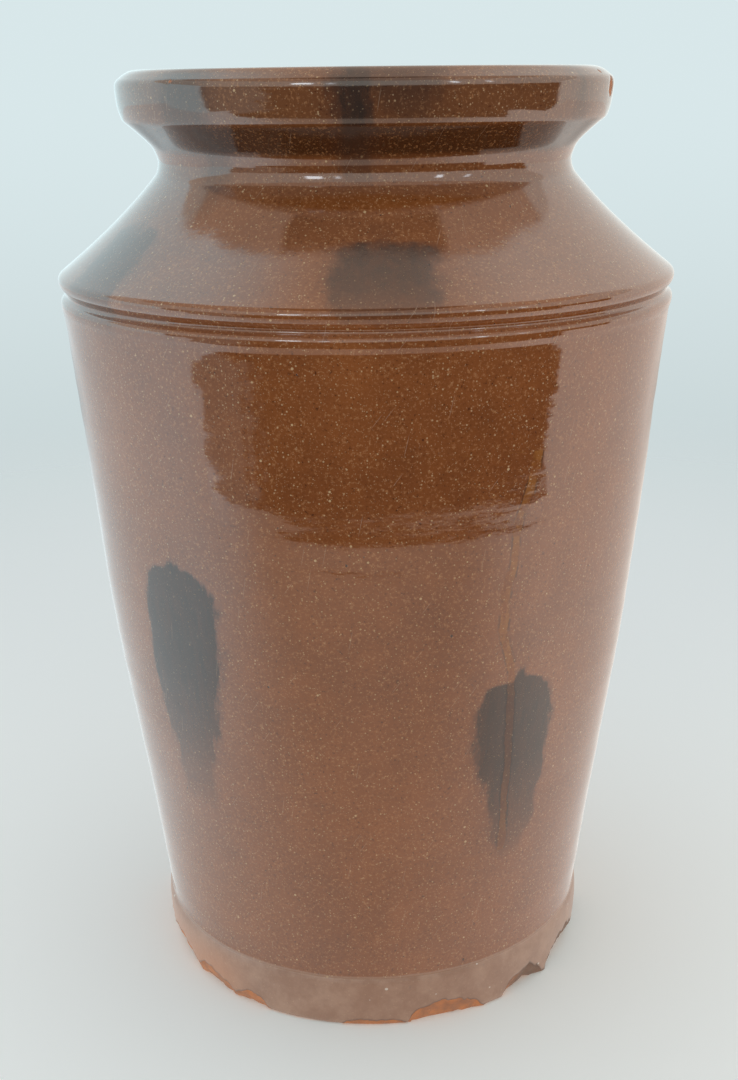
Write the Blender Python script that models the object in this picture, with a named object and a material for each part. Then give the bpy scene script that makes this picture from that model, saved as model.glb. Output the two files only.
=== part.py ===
"""A wheel-thrown, glazed redware storage crock, used as an open fermenting crock, with the
two half-round fired clay weights that lie on its floor and hold a ferment under its brine.

Metres, +Z up. The origin is the centre of the crock's underside, and +Z is the pot's axis.
The straight edges of the two weights lie either side of the plane X = 0.
"""

import math

import bmesh
import bpy
from mathutils import Vector

# Driving dimensions of the crock, in metres.
HEIGHT = 0.3545           # underside to the crest of the rim
SHOULDER_R = 0.1170       # largest radius, at the shoulder edge
FOOT_R = 0.0892           # radius of the foot band
FOOT_H = 0.0210           # height of the foot band
BODY_LOW_R = 0.0884       # radius of the body where it meets the foot band
BODY_TOP_R = 0.1158       # radius of the body just under the ridge
BODY_TOP_Z = 0.2685
SWELL = 0.0021            # how far the wall bows out from a straight taper
SWELL_SKEW = 1.1          # above 1, the bow's widest place is above mid-height
WALL = 0.0090             # wall thickness
FLOOR = 0.0120            # thickness of the bottom
RIDGE_Z = 0.2725          # centre of the ridge under the shoulder edge
RIDGE_R = 0.1165
GROOVE_Z = 0.2757         # bottom of the groove between the ridge and the shoulder edge
GROOVE_R = 0.1144
SHOULDER_Z = 0.2812       # height of the shoulder edge
CONE_TOP_Z = 0.3166       # where the sloping shoulder meets the neck
CONE_TOP_R = 0.0795
NECK_Z = 0.3208           # height of the narrowest part of the neck
NECK_R = 0.0776           # outer radius of the narrowest part of the neck
NECK_INNER_R = 0.0690     # radius of the way in
NECK_INNER_TOP_Z = 0.3278  # the way in is straight between these two heights
NECK_INNER_LOW_Z = 0.3168
LIP_LOW_Z = 0.3369        # lower corner of the collar-like lip
LIP_LOW_R = 0.0897
LIP_R = 0.0920            # outer radius of the lip
LIP_TOP_Z = 0.3512        # top outer corner of the lip
CREST_R = 0.0838          # radius of the rim's highest line
MOUTH_R = 0.0765          # inner edge of the lip's rounded top

# Driving dimensions of the two weights.
WEIGHT_R = 0.0660         # passes the neck on a straight lift
WEIGHT_H = 0.0180
WEIGHT_SPLIT = 0.0030     # gap between the two straight edges
NOTCH_R = 0.0120          # finger notch in the middle of each straight edge
WEIGHT_EDGE = 0.0025      # rounding of the weights' edges
REST_GAP = 0.0003         # clearance between a weight and the floor that it lies on

SEGMENTS = 64             # facets round the pot
WEIGHT_ARC_STEPS = 28     # facets round each weight's curved edge
NOTCH_STEPS = 8

# The larger flakes broken off the foot: (angle in degrees from +X, half width, height, depth).
FOOT_FLAKES = (
    (204.0, 0.0230, 0.0090, 0.0036),
    (222.0, 0.0150, 0.0072, 0.0028),
    (236.5, 0.0085, 0.0058, 0.0022),
    (287.5, 0.0165, 0.0058, 0.0019),
    (314.0, 0.0105, 0.0060, 0.0030),
    (334.0, 0.0180, 0.0095, 0.0045),
)


def clear_scene():
    for item in list(bpy.data.objects):
        bpy.data.objects.remove(item, do_unlink=True)


def principled(name, colour, roughness, metallic=0.0):
    material = bpy.data.materials.new(name)
    material.use_nodes = True
    shader = material.node_tree.nodes["Principled BSDF"]
    shader.inputs["Base Color"].default_value = (*colour, 1.0)
    shader.inputs["Roughness"].default_value = roughness
    shader.inputs["Metallic"].default_value = metallic
    return material


def curve(start, pull_a, pull_b, end, steps):
    """Points of a cubic Bezier curve in the (radius, height) plane, without its first point."""
    points = []
    for i in range(1, steps + 1):
        t = i / steps
        u = 1.0 - t
        weights = (u ** 3, 3 * u * u * t, 3 * u * t * t, t ** 3)
        points.append(tuple(
            sum(w * p[axis] for w, p in zip(weights, (start, pull_a, pull_b, end)))
            for axis in (0, 1)
        ))
    return points


def body_radius(height):
    """Outer radius of the tapered wall at a height above the underside."""
    share = (height - FOOT_H) / (BODY_TOP_Z - FOOT_H)
    share = min(max(share, 0.0), 1.0)
    bow = SWELL * math.sin(math.pi * share ** SWELL_SKEW) ** 2
    return BODY_LOW_R + (BODY_TOP_R - BODY_LOW_R) * share + bow


def outside_profile():
    """Turned outline of the outside, from the centre of the underside up to the rim's crest."""
    points = [(0.0, 0.0), (FOOT_R - 0.0012, 0.0)]
    points += [(FOOT_R - 0.0002, 0.0012), (FOOT_R, 0.006), (FOOT_R, FOOT_H - 0.002)]
    points += [(FOOT_R - 0.0005, FOOT_H - 0.0006)]
    wall_low = FOOT_H + 0.0006
    steps = 12
    for i in range(steps + 1):
        height = wall_low + (BODY_TOP_Z - wall_low) * i / steps
        points.append((body_radius(height), height))
    points += [(RIDGE_R, RIDGE_Z - 0.0014), (RIDGE_R, RIDGE_Z + 0.0010)]
    points += [(GROOVE_R, GROOVE_Z)]
    points += [(SHOULDER_R - 0.0003, SHOULDER_Z - 0.0018), (SHOULDER_R, SHOULDER_Z)]
    points += [(SHOULDER_R - 0.0005, SHOULDER_Z + 0.0016)]
    points += [(SHOULDER_R - 0.0018, SHOULDER_Z + 0.0034)]
    cone_top = (CONE_TOP_R, CONE_TOP_Z)
    points += curve(points[-1], (SHOULDER_R - 0.0143, SHOULDER_Z + 0.0131),
                    (SHOULDER_R - 0.0268, SHOULDER_Z + 0.0232), cone_top, 5)
    neck = (NECK_R, NECK_Z)
    points += curve(cone_top, (NECK_R + 0.0006, NECK_Z - 0.0028), (NECK_R, NECK_Z - 0.0020),
                    neck, 3)
    lip_low = (LIP_LOW_R, LIP_LOW_Z)
    points += curve(neck, (NECK_R, NECK_Z + 0.0050), (LIP_LOW_R - 0.0070, LIP_LOW_Z - 0.0060),
                    lip_low, 5)
    lip_face = (LIP_R, LIP_TOP_Z - 0.0027)
    points += curve(lip_low, (LIP_LOW_R + 0.0008, LIP_LOW_Z + 0.0016),
                    (LIP_R - 0.0004, LIP_LOW_Z + 0.0061), lip_face, 3)
    points += [(LIP_R - 0.0002, LIP_TOP_Z - 0.0012), (LIP_R - 0.0008, LIP_TOP_Z - 0.0002)]
    corner = (LIP_R - 0.0017, LIP_TOP_Z + 0.0005)
    points += [corner]
    points += curve(corner, (LIP_R - 0.0035, HEIGHT - 0.0012), (CREST_R + 0.0027, HEIGHT),
                    (CREST_R, HEIGHT), 3)
    return points


def inside_profile():
    """Turned outline of the inside, from the rim's crest down to the centre of the floor."""
    crest = (CREST_R, HEIGHT)
    mouth = (MOUTH_R, HEIGHT - 0.0032)
    points = curve(crest, (CREST_R - 0.0033, HEIGHT), (MOUTH_R + 0.0017, HEIGHT - 0.0008),
                   mouth, 3)
    throat = (NECK_INNER_R, NECK_INNER_TOP_Z)
    points += curve(mouth, (MOUTH_R - 0.0030, HEIGHT - 0.0075), (NECK_INNER_R, HEIGHT - 0.0165),
                    throat, 4)
    neck_low = (NECK_INNER_R, NECK_INNER_LOW_Z)
    under_shoulder = (SHOULDER_R - WALL - 0.0005, SHOULDER_Z - 0.0040)
    points += [neck_low]
    points += curve(neck_low, (NECK_INNER_R + 0.0040, NECK_INNER_LOW_Z - 0.0068),
                    (SHOULDER_R - 0.0160, SHOULDER_Z + 0.0088), under_shoulder, 5)
    wall_top = SHOULDER_Z - 0.0200
    wall_low = FLOOR + 0.0160
    steps = 8
    for i in range(steps + 1):
        height = wall_top + (wall_low - wall_top) * i / steps
        points.append((body_radius(height) - WALL, height))
    corner = points[-1]
    floor_edge = (corner[0] - 0.0120, FLOOR)
    points += curve(corner, (corner[0] - 0.0005, FLOOR + 0.0050), (corner[0] - 0.0040, FLOOR),
                    floor_edge, 4)
    points += [(0.0, FLOOR)]
    return points


def turned(name, profile, segments):
    """A closed body of revolution about +Z from a profile that starts and ends on the axis."""
    mesh = bpy.data.meshes.new(name)
    shape = bmesh.new()
    verts = [shape.verts.new((radius, 0.0, height)) for radius, height in profile]
    edges = [shape.edges.new(pair) for pair in zip(verts, verts[1:])]
    bmesh.ops.spin(shape, geom=verts + edges, cent=(0, 0, 0), axis=(0, 0, 1),
                   angle=math.tau, steps=segments, use_merge=True)
    bmesh.ops.remove_doubles(shape, verts=shape.verts, dist=1e-6)
    bmesh.ops.recalc_face_normals(shape, faces=shape.faces)
    shape.to_mesh(mesh)
    shape.free()
    mesh.shade_smooth()
    mesh.set_sharp_from_angle(angle=math.radians(40))
    item = bpy.data.objects.new(name, mesh)
    bpy.context.scene.collection.objects.link(item)
    return item


def flake_cutter(index, angle_deg, half_width, height, depth):
    """A faceted wedge that takes one flake out of the foot's lower outer edge."""
    angle = math.radians(angle_deg)
    shape = bmesh.new()
    bmesh.ops.create_icosphere(shape, subdivisions=1, radius=1.0)
    bmesh.ops.scale(shape, vec=Vector((depth, half_width, height)), verts=shape.verts)
    mesh = bpy.data.meshes.new(f"foot_flake_{index}")
    shape.to_mesh(mesh)
    shape.free()
    cutter = bpy.data.objects.new(mesh.name, mesh)
    bpy.context.scene.collection.objects.link(cutter)
    cutter.location = (FOOT_R * math.cos(angle), FOOT_R * math.sin(angle), -0.0005)
    cutter.rotation_euler = (0.0, 0.0, angle)
    cutter.hide_render = True
    cutter.display_type = "WIRE"
    return cutter


def make_crock():
    crock = turned("crock", outside_profile() + inside_profile(), SEGMENTS)
    for index, flake in enumerate(FOOT_FLAKES):
        cut = crock.modifiers.new(f"flake_{index}", "BOOLEAN")
        cut.operation = "DIFFERENCE"
        cut.object = flake_cutter(index, *flake)
    crock.data.materials.append(principled("brown_lead_glaze", (0.13, 0.042, 0.014), 0.12))
    return crock


def half_disc_outline():
    """Outline of one weight in plan, from one end of its straight edge round to the notch."""
    flat_x = WEIGHT_SPLIT / 2
    swing = math.acos(flat_x / WEIGHT_R)
    outline = []
    for i in range(WEIGHT_ARC_STEPS + 1):
        angle = -swing + 2 * swing * i / WEIGHT_ARC_STEPS
        outline.append((WEIGHT_R * math.cos(angle), WEIGHT_R * math.sin(angle)))
    half_notch = math.acos(flat_x / NOTCH_R)
    for i in range(NOTCH_STEPS + 1):
        angle = half_notch - 2 * half_notch * i / NOTCH_STEPS
        outline.append((NOTCH_R * math.cos(angle), NOTCH_R * math.sin(angle)))
    return outline


def make_weight(name, side):
    """One half-round weight; side is +1 for the half at +X and -1 for the half at -X."""
    shape = bmesh.new()
    floor = FLOOR + REST_GAP
    verts = [shape.verts.new((side * x, side * y, 0.0)) for x, y in half_disc_outline()]
    base = shape.faces.new(verts)
    grown = bmesh.ops.extrude_face_region(shape, geom=[base])
    risen = [part for part in grown["geom"] if isinstance(part, bmesh.types.BMVert)]
    bmesh.ops.translate(shape, verts=risen, vec=(0.0, 0.0, WEIGHT_H))
    bmesh.ops.recalc_face_normals(shape, faces=shape.faces)
    mesh = bpy.data.meshes.new(name)
    shape.to_mesh(mesh)
    shape.free()
    mesh.shade_smooth()
    mesh.set_sharp_from_angle(angle=math.radians(40))
    weight = bpy.data.objects.new(name, mesh)
    bpy.context.scene.collection.objects.link(weight)
    weight.location = (0.0, 0.0, floor)
    rounding = weight.modifiers.new("rounded_edges", "BEVEL")
    rounding.width = WEIGHT_EDGE
    rounding.segments = 2
    rounding.limit_method = "ANGLE"
    rounding.angle_limit = math.radians(40)
    weight.data.materials.append(principled(f"{name}_clay", (0.50, 0.34, 0.22), 0.55))
    return weight


def main():
    clear_scene()
    make_crock()
    make_weight("weight_left", -1)
    make_weight("weight_right", 1)


main()
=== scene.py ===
"""Looks of a glazed redware fermenting crock and its two fired clay weights.

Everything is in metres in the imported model's frame: +Z up, the crock's axis on Z, its front at
-Y. Azimuths are in degrees from the front, positive towards +X.
"""

import math

import bmesh
import bpy
import numpy as np
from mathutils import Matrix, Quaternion, Vector, noise


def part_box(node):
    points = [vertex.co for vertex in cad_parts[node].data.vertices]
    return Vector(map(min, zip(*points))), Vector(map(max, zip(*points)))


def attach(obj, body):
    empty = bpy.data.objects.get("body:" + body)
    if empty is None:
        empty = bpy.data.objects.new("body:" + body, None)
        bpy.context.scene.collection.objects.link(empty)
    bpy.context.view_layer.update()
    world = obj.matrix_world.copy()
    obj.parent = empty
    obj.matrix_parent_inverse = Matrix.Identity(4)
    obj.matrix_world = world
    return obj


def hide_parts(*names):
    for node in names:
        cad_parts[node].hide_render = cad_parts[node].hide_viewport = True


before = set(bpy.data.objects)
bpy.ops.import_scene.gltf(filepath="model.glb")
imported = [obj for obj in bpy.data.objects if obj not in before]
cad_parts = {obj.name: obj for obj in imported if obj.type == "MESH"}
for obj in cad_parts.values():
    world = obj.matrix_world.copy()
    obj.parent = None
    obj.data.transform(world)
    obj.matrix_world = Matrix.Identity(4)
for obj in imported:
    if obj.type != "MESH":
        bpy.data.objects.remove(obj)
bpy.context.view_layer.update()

# The crock's driving dimensions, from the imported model's box.
_, CROCK_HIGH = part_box("crock")
HEIGHT = CROCK_HIGH.z
SHOULDER_R = CROCK_HIGH.x
FOOT_R = SHOULDER_R - 0.0278
FOOT_H = 0.021
BODY_LOW_R = FOOT_R - 0.0008
BODY_TOP_R = SHOULDER_R - 0.0012
BODY_TOP_Z = HEIGHT - 0.086
SWELL = 0.0021            # how far the wall bows out from a straight taper
SWELL_SKEW = 1.1
WALL = 0.009              # wall thickness
FLOOR = 0.012             # thickness of the bottom
RIDGE_Z = HEIGHT - 0.082
RIDGE_R = SHOULDER_R - 0.0005
GROOVE_Z = HEIGHT - 0.0788
GROOVE_R = SHOULDER_R - 0.0026
SHOULDER_Z = HEIGHT - 0.0733
CONE_TOP_Z = HEIGHT - 0.0379
CONE_TOP_R = SHOULDER_R - 0.0375
NECK_Z = HEIGHT - 0.0322
NECK_R = SHOULDER_R - 0.0394
NECK_INNER_R = NECK_R - 0.0086
LIP_LOW_Z = HEIGHT - 0.0176
LIP_LOW_R = SHOULDER_R - 0.0273
LIP_TOP_Z = HEIGHT - 0.0033
LIP_R = SHOULDER_R - 0.025
CREST_R = LIP_R - 0.0082
MOUTH_R = CREST_R - 0.0073

# Turned mesh: columns round the pot, closer together at the front.
COLUMNS = 260
FRONT_CROWDING = 0.45
CURVE_STEPS = 20          # points between two outline points before the outline is resampled
OUTSIDE, RIM, INSIDE = 0, 1, 2

# Flakes off the foot's edge: (azimuth, half width, height, depth).
FOOT_FLAKES = (
    (-88.0, 0.027, 0.0185, 0.006),
    (-66.0, 0.023, 0.009, 0.0036),
    (-48.0, 0.015, 0.0072, 0.0028),
    (-33.5, 0.0085, 0.0058, 0.0022),
    (0.0, 0.0125, 0.0028, 0.0007),
    (18.5, 0.0155, 0.0074, 0.0026),
    (43.5, 0.012, 0.0085, 0.0042),
    (64.0, 0.018, 0.0095, 0.0045),
    (82.0, 0.015, 0.0115, 0.004),
)
# Chips in the lip: (azimuth, height, half width, half height, depth).
LIP_CHIPS = (
    (73.0, HEIGHT - 0.0072, 0.004, 0.0036, 0.0012),
    (66.5, HEIGHT - 0.002, 0.0013, 0.0009, 0.0004),
    (-43.5, HEIGHT - 0.0042, 0.0012, 0.001, 0.0005),
)
# Splashes of manganese: (azimuth, top, bottom, half width, narrowing, lean, strength).
STAINS = (
    (-1.8, HEIGHT + 0.006, NECK_Z - 0.006, 0.0068, 0.1, 0.0, 1.00),
    (8.0, HEIGHT + 0.006, LIP_LOW_Z - 0.002, 0.0125, 0.3, 0.0, 0.55),
    (-41.0, HEIGHT + 0.006, NECK_Z - 0.018, 0.0092, 0.2, 1.0, 0.58),
    (53.0, HEIGHT + 0.006, NECK_Z, 0.0048, 0.1, 2.0, 0.5),
    (3.5, HEIGHT - 0.053, SHOULDER_Z - 0.004, 0.0172, 0.1, 0.0, 0.85),
    (-57.0, HEIGHT - 0.051, SHOULDER_Z - 0.013, 0.0165, 0.1, 3.0, 0.55),
    (-39.5, 0.189, 0.09, 0.0182, 0.6, -2.0, 1.00),
    (30.5, 0.1485, 0.068, 0.0168, 0.66, 3.0, 0.95),
    (104.0, HEIGHT + 0.006, NECK_Z - 0.004, 0.008, 0.2, 0.0, 0.85),
    (158.0, HEIGHT + 0.006, LIP_LOW_Z - 0.004, 0.011, 0.2, 0.0, 0.7),
    (-112.0, HEIGHT + 0.006, NECK_Z - 0.006, 0.009, 0.1, 0.0, 0.8),
    (112.0, HEIGHT - 0.05, SHOULDER_Z - 0.008, 0.015, 0.1, 2.0, 0.85),
    (-168.0, HEIGHT - 0.054, SHOULDER_Z - 0.005, 0.0165, 0.1, 0.0, 0.8),
    (102.0, 0.175, 0.084, 0.016, 0.75, 2.0, 0.9),
    (172.0, 0.198, 0.106, 0.015, 0.7, -2.0, 0.85),
    (-112.0, 0.164, 0.07, 0.017, 0.7, 0.0, 0.9),
)
# A run of thin glaze down the front right, as (azimuth, height) from its top.
RUN = (
    (30.5, 0.233), (29.8, 0.22), (27.4, 0.208), (27.2, 0.195), (25.6, 0.18),
    (26.2, 0.165), (28.6, 0.149), (29.4, 0.125), (30.2, 0.096), (31.0, 0.07),
)
FAR_AWAY = 0.05           # stands for "not near" in the distances stored on the mesh

# The weights.
NOTCH_R = 0.012           # radius of the finger hole that the two halves share
SOFT_EDGE = 0.0026        # rounding of the edges
CUT_SPACING = 0.003       # distance between the cuts that give the faces their unevenness

# Windows in front that the glaze mirrors: (azimuth, half width in degrees, brightness).
WINDOWS = ((-27.0, 4.5, 5.0), (-14.0, 1.3, 3.0), (41.5, 1.8, 4.5), (58.5, 1.4, 3.0))

# The camera, at eye level with the rim.
CAMERA_FAR = 4.69 * SHOULDER_R
CAMERA_Z = HEIGHT - 0.0041
CAMERA_LENS = 46.7        # millimetres, for a 36 mm sensor
LOOK_DOWN = 18.2          # degrees below level
CAMERA_ROLL = -0.63       # degrees

GLAZE_IOR = 2.05          # refractive index of glass rich in lead
CLAY_IOR = 1.45

# Colours, as linear red, green and blue. First the glaze.
RED_BROWN = (0.35, 0.11, 0.0255)
DARK_BROWN = (0.19, 0.053, 0.011)
LIP_BROWN = (0.095, 0.056, 0.03)
SHOULDER_BROWN = (0.085, 0.04, 0.02)
# Painted shade for the undercut below the lip.
UNDERCUT_SHADE_BROWN = (0.034, 0.012, 0.0045)
INSIDE_BROWN = (0.085, 0.026, 0.009)
GRAIN_PALE = (0.5, 0.24, 0.1)
GRAIN_DARK = (0.11, 0.03, 0.007)
GRIT_CREAM = (0.66, 0.46, 0.24)
PIT_BROWN = (0.03, 0.012, 0.007)
SCRATCH_PALE = (0.6, 0.42, 0.28)
RUN_GOLD = (0.38, 0.15, 0.03)
RUN_EDGE = (0.06, 0.02, 0.009)
RUN_EDGE_IN_STAIN = (0.03, 0.01, 0.005)
STAIN_THIN = (0.075, 0.022, 0.014)
STAIN_THICK = (0.042, 0.0245, 0.0175)
TIDE_PALE = (0.5, 0.4, 0.3)
# The foot band and the broken clay.
DUSTY_BROWN = (0.33, 0.176, 0.108)
DUSTY_PALE = (0.46, 0.285, 0.195)
WARM_CLAY = (0.6, 0.25, 0.11)
LIME_WHITE = (0.72, 0.66, 0.58)
JOIN_PALE = (0.5, 0.36, 0.27)
CHIP_RIM = (0.06, 0.026, 0.016)
FRESH_CLAY = ((0.62, 0.225, 0.074), (0.4, 0.168, 0.08))
OLD_CLAY = ((0.215, 0.115, 0.068), (0.15, 0.088, 0.058))
UNDERSIDE_CLAY = ((0.42, 0.165, 0.07), (0.3, 0.145, 0.08))
WEIGHT_CLAY = ((0.5, 0.32, 0.19), (0.4, 0.26, 0.165))
CLAY_GRIT = (0.62, 0.45, 0.28)
CLAY_SPECK = (0.06, 0.034, 0.022)


# ------------ shader nodes

class Graph:
    """Adds nodes to a shader tree. A value is a number, a colour or another node's output."""

    def __init__(self, tree):
        self.tree = tree
        tree.nodes.clear()

    def node(self, kind, inputs=None, **settings):
        item = self.tree.nodes.new(kind)
        for name, value in settings.items():
            setattr(item, name, value)
        for key, value in (inputs or {}).items():
            if isinstance(value, bpy.types.NodeSocket):
                self.tree.links.new(value, item.inputs[key])
            else:
                socket = item.inputs[key]
                bare_colour = socket.type == "RGBA" and len(value) == 3
                socket.default_value = (*value, 1.0) if bare_colour else value
        return item

    def math(self, operation, a, b=0.0, c=0.0):
        return self.node("ShaderNodeMath", {0: a, 1: b, 2: c}, operation=operation).outputs[0]

    def add(self, *values):
        total = values[0]
        for value in values[1:]:
            total = self.math("ADD", total, value)
        return total

    def times(self, *values):
        total = values[0]
        for value in values[1:]:
            total = self.math("MULTIPLY", total, value)
        return total

    def less(self, a, b):
        return self.math("SUBTRACT", a, b)

    def step(self, value, low, high):
        """0 at low, 1 at high, smooth between them; low may be the larger."""
        inputs = {0: value, 1: low, 2: high, 3: 0.0, 4: 1.0}
        item = self.node("ShaderNodeMapRange", inputs, interpolation_type="SMOOTHSTEP")
        return item.outputs[0]

    def between(self, value, low, high, soft):
        """1 from low to high, 0 beyond them."""
        return self.times(self.step(value, low - soft, low + soft),
                          self.step(value, high + soft, high - soft))

    def mix(self, factor, a, b):
        item = self.node("ShaderNodeMix", {0: factor, 6: a, 7: b}, data_type="RGBA")
        return item.outputs[2]

    def paint(self, under, over, *shares):
        """One colour over another, as thickly as the product of the shares."""
        return self.mix(self.times(*shares), under, over)

    def place(self):
        return self.node("ShaderNodeTexCoord").outputs["Object"]

    def axes(self, vector):
        return self.node("ShaderNodeSeparateXYZ", {0: vector}).outputs

    def stretch(self, vector, x, y, z):
        inputs = {0: vector, 1: (x, y, z)}
        return self.node("ShaderNodeVectorMath", inputs, operation="MULTIPLY").outputs[0]

    def noise(self, vector, size, detail=3.0, rough=0.5):
        """Noise from 0 to 1, with features about `size` across."""
        inputs = {"Vector": vector, "Scale": 1.0 / size, "Detail": detail, "Roughness": rough}
        return self.node("ShaderNodeTexNoise", inputs).outputs[0]

    def spots(self, vector, spacing, smallest, largest, share):
        """1 inside round specks: one place in each cell `spacing` wide, filled for a share."""
        inputs = {"Vector": vector, "Scale": 1.0 / spacing}
        cells = self.node("ShaderNodeTexVoronoi", inputs)
        chance = self.node("ShaderNodeSeparateColor", {0: cells.outputs["Color"]})
        size = self.node("ShaderNodeMapRange", {
            0: chance.outputs[0], 1: 1.0 - share, 2: 1.0,
            3: smallest / spacing, 4: largest / spacing}).outputs[0]
        present = self.math("GREATER_THAN", chance.outputs[0], 1.0 - share)
        reach = self.less(size, cells.outputs["Distance"])
        return self.times(present, self.step(reach, -0.1 * smallest / spacing,
                                             0.4 * smallest / spacing))

    def attribute(self, name):
        item = self.node("ShaderNodeAttribute", attribute_name=name)
        return item.outputs["Fac"]


def new_material(name, ior):
    """A material with a bare Principled shader, whose uniform values sit on its own sockets."""
    material = bpy.data.materials.new(name)
    material.use_nodes = True
    graph = Graph(material.node_tree)
    shader = graph.node("ShaderNodeBsdfPrincipled", {"IOR": ior})
    output = graph.node("ShaderNodeOutputMaterial")
    graph.tree.links.new(shader.outputs[0], output.inputs["Surface"])
    return material, graph, shader


def wire(graph, shader, colour, roughness, relief):
    """Links colour, roughness and a relief in metres to a Principled shader."""
    bump = graph.node("ShaderNodeBump", {"Height": relief, "Distance": 1.0, "Strength": 1.0})
    graph.tree.links.new(colour, shader.inputs["Base Color"])
    graph.tree.links.new(roughness, shader.inputs["Roughness"])
    graph.tree.links.new(bump.outputs[0], shader.inputs["Normal"])


def around(graph, place):
    """(azimuth from the front in degrees, height) of a point or a direction."""
    x, y, height = graph.axes(place)
    turn = graph.math("ARCTAN2", x, graph.times(y, -1.0))
    return graph.math("DEGREES", turn), height


def scratches(graph, turn, height, angle, length, width, share):
    """1 on short straight scratches that all run at one angle to the level, in degrees."""
    arc = graph.times(turn, math.radians(1.0) * SHOULDER_R)
    cos, sin = math.cos(math.radians(angle)), math.sin(math.radians(angle))
    along = graph.add(graph.times(arc, cos), graph.times(height, sin))
    across = graph.less(graph.times(height, cos), graph.times(arc, sin))
    row = graph.math("FLOOR", graph.times(across, 1.0 / width))
    shift = graph.node("ShaderNodeTexWhiteNoise", {"W": row}, noise_dimensions="1D").outputs[0]
    place = graph.add(graph.times(along, 1.0 / length), graph.times(shift, 7.0))
    cell = graph.node("ShaderNodeCombineXYZ", {0: row, 1: graph.math("FLOOR", place)})
    chance = graph.node("ShaderNodeTexWhiteNoise", {0: cell.outputs[0]}).outputs[0]
    inside = graph.between(graph.math("FRACT", place), 0.2, 0.8, 0.15)
    return graph.times(graph.math("GREATER_THAN", chance, 1.0 - share), inside)


# ------------ materials

def clay_colour(graph, place, clean, dusty):
    """Broken or unglazed red clay, mottled between two colours, with pale grit."""
    cloudy = graph.noise(place, 0.006, 4.0, 0.6)
    colour = graph.mix(graph.step(cloudy, 0.35, 0.7), clean, dusty)
    grit = graph.spots(place, 0.0022, 0.00012, 0.00035, 0.3)
    return graph.paint(colour, CLAY_GRIT, grit, 0.8)


def glaze_body(graph, place, height, undercut_shade):
    """Brown glaze in broad clouds, level throwing streaks, vertical runs and a fine grain, with
    painted shade darkening the undercut below the lip.
    """
    clouds = graph.noise(place, 0.06, 3.0, 0.55)
    level = graph.noise(graph.stretch(place, 0.12, 0.12, 1.0), 0.004, 4.0, 0.6)
    runs = graph.noise(graph.stretch(place, 1.0, 1.0, 0.1), 0.009, 3.0, 0.6)
    mottle = graph.noise(place, 0.012, 5.0, 0.65)
    grain = graph.noise(place, 0.0011, 2.0, 0.7)
    tone = graph.add(graph.times(clouds, 0.46), graph.times(level, 0.1),
                     graph.times(runs, 0.12), graph.times(mottle, 0.32))
    colour = graph.mix(graph.step(tone, 0.2, 0.82), DARK_BROWN, RED_BROWN)
    on_lip = graph.step(height, LIP_LOW_Z - 0.002, LIP_LOW_Z + 0.002)
    colour = graph.paint(colour, LIP_BROWN, on_lip, 0.36)
    on_shoulder = graph.step(height, SHOULDER_Z - 0.002, SHOULDER_Z + 0.006)
    colour = graph.paint(colour, SHOULDER_BROWN, on_shoulder, 0.15)
    # Painted shade: the undercut below the lip is darkened almost to black.
    colour = graph.paint(colour, UNDERCUT_SHADE_BROWN, undercut_shade, 0.84)
    colour = graph.mix(graph.step(grain, 0.4, 0.25), colour, GRAIN_DARK)
    return graph.paint(colour, GRAIN_PALE, graph.step(grain, 0.53, 0.72), 0.6)


def pale_grit(graph, place):
    """How much pale grit shows, from fine dust and sand to a few large grains."""
    dusting = graph.spots(place, 0.001, 0.00011, 0.00021, 0.95)
    sand = graph.spots(place, 0.0016, 0.00014, 0.00034, 0.85)
    grit = graph.spots(place, 0.0058, 0.00024, 0.00052, 0.65)
    stones = graph.spots(place, 0.025, 0.0006, 0.0011, 0.4)
    fine = graph.math("MAXIMUM", graph.times(sand, 0.66), graph.times(dusting, 0.42))
    return graph.math("MAXIMUM", fine, graph.math("MAXIMUM", graph.times(grit, 0.85), stones))


def run_masks(graph, place):
    """The width of the run of thin glaze, and the dark lines along its two edges."""
    grime = graph.noise(graph.stretch(place, 1.0, 1.0, 0.6), 0.008, 4.0, 0.65)
    wander = graph.times(graph.less(grime, 0.5), 0.005)
    far = graph.math("ABSOLUTE", graph.add(graph.attribute("run_offset"), wander))
    run = graph.step(far, 0.0022, 0.0014)
    edges = graph.times(graph.step(far, 0.0013, 0.0018), graph.step(far, 0.0027, 0.0021))
    return run, edges


def stain_masks(graph, place, height):
    """The thin margin and the thick core of the manganese splashes, ragged and lobed."""
    ragged = graph.noise(graph.stretch(place, 1.0, 1.0, 0.4), 0.0042, 4.0, 0.65)
    lobes = graph.noise(graph.stretch(place, 1.0, 1.0, 0.7), 0.013, 2.0, 0.5)
    edge = graph.add(graph.attribute("stain_edge"), graph.times(graph.less(ragged, 0.5), 0.009),
                     graph.times(graph.less(lobes, 0.5), 0.011))
    strength = graph.attribute("stain_strength")
    high_up = graph.step(height, SHOULDER_Z - 0.01, SHOULDER_Z + 0.01)
    edge = graph.times(edge, graph.less(1.0, graph.times(high_up, 0.62)))
    margin = graph.times(graph.step(edge, -0.003, 0.0018), strength)
    core = graph.times(graph.step(edge, -0.0008, 0.0018), strength)
    return margin, core


def add_stains(graph, place, colour, margin, core, run, run_edges):
    """Streaky black-brown splashes with a thin margin, thinner where the run crosses them."""
    streaks = graph.noise(graph.stretch(place, 1.0, 1.0, 0.22), 0.0034, 4.0, 0.65)
    mottled = graph.add(0.36, graph.times(streaks, 0.92))
    not_run = graph.less(1.0, graph.times(run, 0.42))
    cover = graph.math("MINIMUM", graph.times(core, mottled, not_run, 1.05), 0.97)
    colour = graph.paint(colour, STAIN_THIN, margin, 0.55)
    colour = graph.mix(cover, colour, STAIN_THICK)
    return graph.paint(colour, RUN_EDGE_IN_STAIN, run_edges, core, 0.7)


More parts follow.
